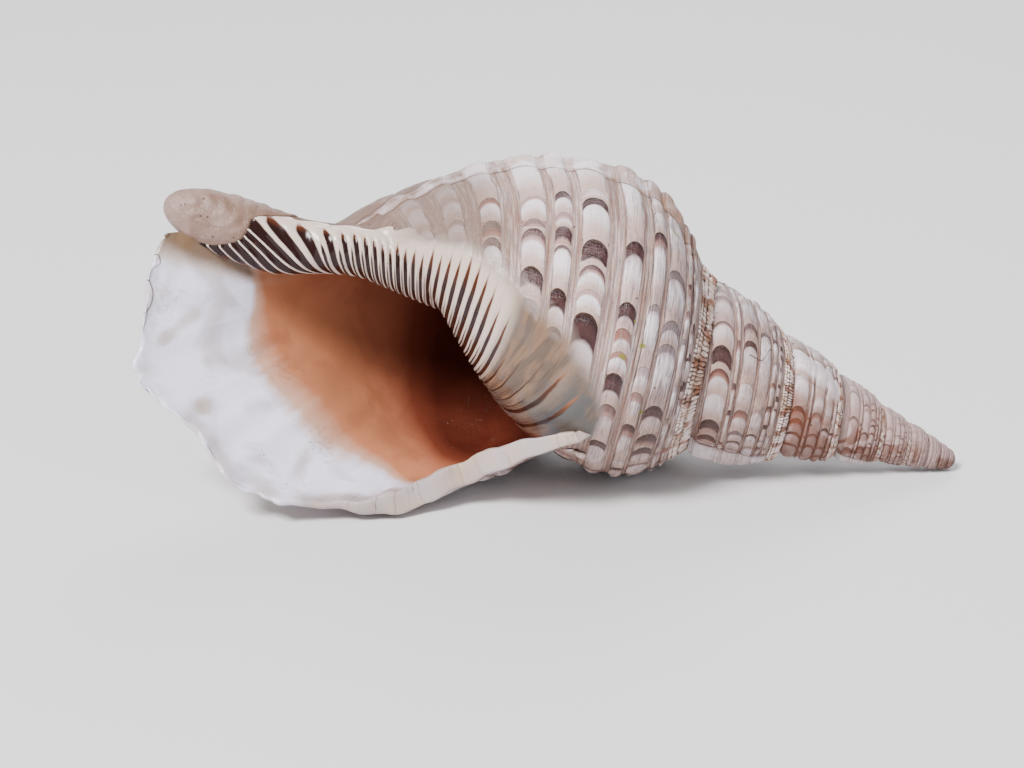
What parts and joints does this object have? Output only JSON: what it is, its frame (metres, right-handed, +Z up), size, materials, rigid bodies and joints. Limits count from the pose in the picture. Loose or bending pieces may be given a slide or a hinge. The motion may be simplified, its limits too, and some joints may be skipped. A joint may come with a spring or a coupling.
{
  "type": "tritons trumpet shell",
  "caption": "Large right-handed spiral sea snail shell lying on its side, with a pointed spire, ribbed whorls, a wide flared mouth and a siphonal tongue.",
  "frame": {"origin": "middle of the shell's bounding box, at the level of the surface it lies on", "axes": "+X towards the tip of the spire, +Y away from the open mouth, +Z up as the shell rests"},
  "size_m": [0.3438, 0.137, 0.1312],
  "materials": {
    "shell_glaze": "gloss"
  },
  "bodies": {
    "root": {"triton_shell": "shell_glaze"}
  },
  "joints": []
}
